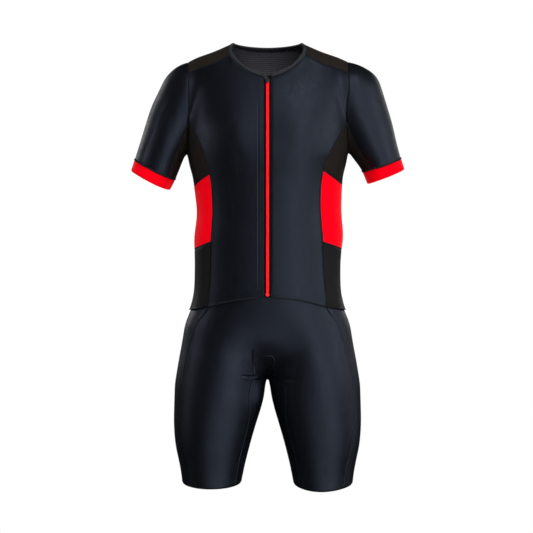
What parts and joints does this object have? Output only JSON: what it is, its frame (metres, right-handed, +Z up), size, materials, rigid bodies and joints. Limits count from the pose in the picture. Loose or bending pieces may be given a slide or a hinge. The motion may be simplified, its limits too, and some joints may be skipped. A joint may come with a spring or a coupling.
{
  "type": "triathlon suit",
  "caption": "Short-sleeved one-piece triathlon suit in black stretch cloth with red side panels, cuffs and a full front zip, standing hollow as worn.",
  "frame": {"origin": "midway between the two points where the suit rests on its wearer's shoulders beside the neck", "axes": "+Z up along the wearer's body, -Y towards the zip at the front, +X towards the wearer's left"},
  "size_m": [0.5608, 0.2375, 0.9079],
  "materials": {
    "black_lycra": "smooth warp-knit lycra with a soft sheen",
    "black_mesh": "fine matt mesh",
    "red_lycra": "smooth stretch knit",
    "pad_fleece": "short fleece over foam",
    "zip_tape": "woven tape",
    "red_nylon": "satin nylon coil",
    "zip_metal": "black enamel on zinc"
  },
  "bodies": {
    "garment": {"front_left": "black_lycra", "front_right": "black_lycra", "back": "black_mesh", "side_mesh_left": "black_mesh", "side_mesh_right": "black_mesh", "side_red_left": "red_lycra", "side_red_right": "red_lycra", "side_lower_left": "black_lycra", "side_lower_right": "black_lycra", "sleeve_left": "black_lycra", "sleeve_right": "black_lycra", "sleeve_gusset_left": "black_mesh", "sleeve_gusset_right": "black_mesh", "cuff_left": "red_lycra", "cuff_right": "red_lycra", "neck_binding": "black_lycra", "zip_tape_left": "zip_tape", "zip_tape_right": "zip_tape", "zip_chain": "red_nylon", "zip_stop": "red_nylon", "zip_slider": "zip_metal", "shorts_front": "black_lycra", "shorts_back": "black_lycra", "shorts_side_left": "black_lycra", "shorts_side_right": "black_lycra", "shorts_gusset": "black_lycra", "seat_pad": "pad_fleece"},
    "pull_tab": {"zip_pull_tab": "zip_metal"}
  },
  "joints": [
    {"name": "pull_tab_swing", "type": "hinge", "parent": "garment", "child": "pull_tab", "pos_m": [0, -0.09023, -0.0863], "axis": [0.866, 0, 0.5], "range_deg": [0, 160]}
  ]
}
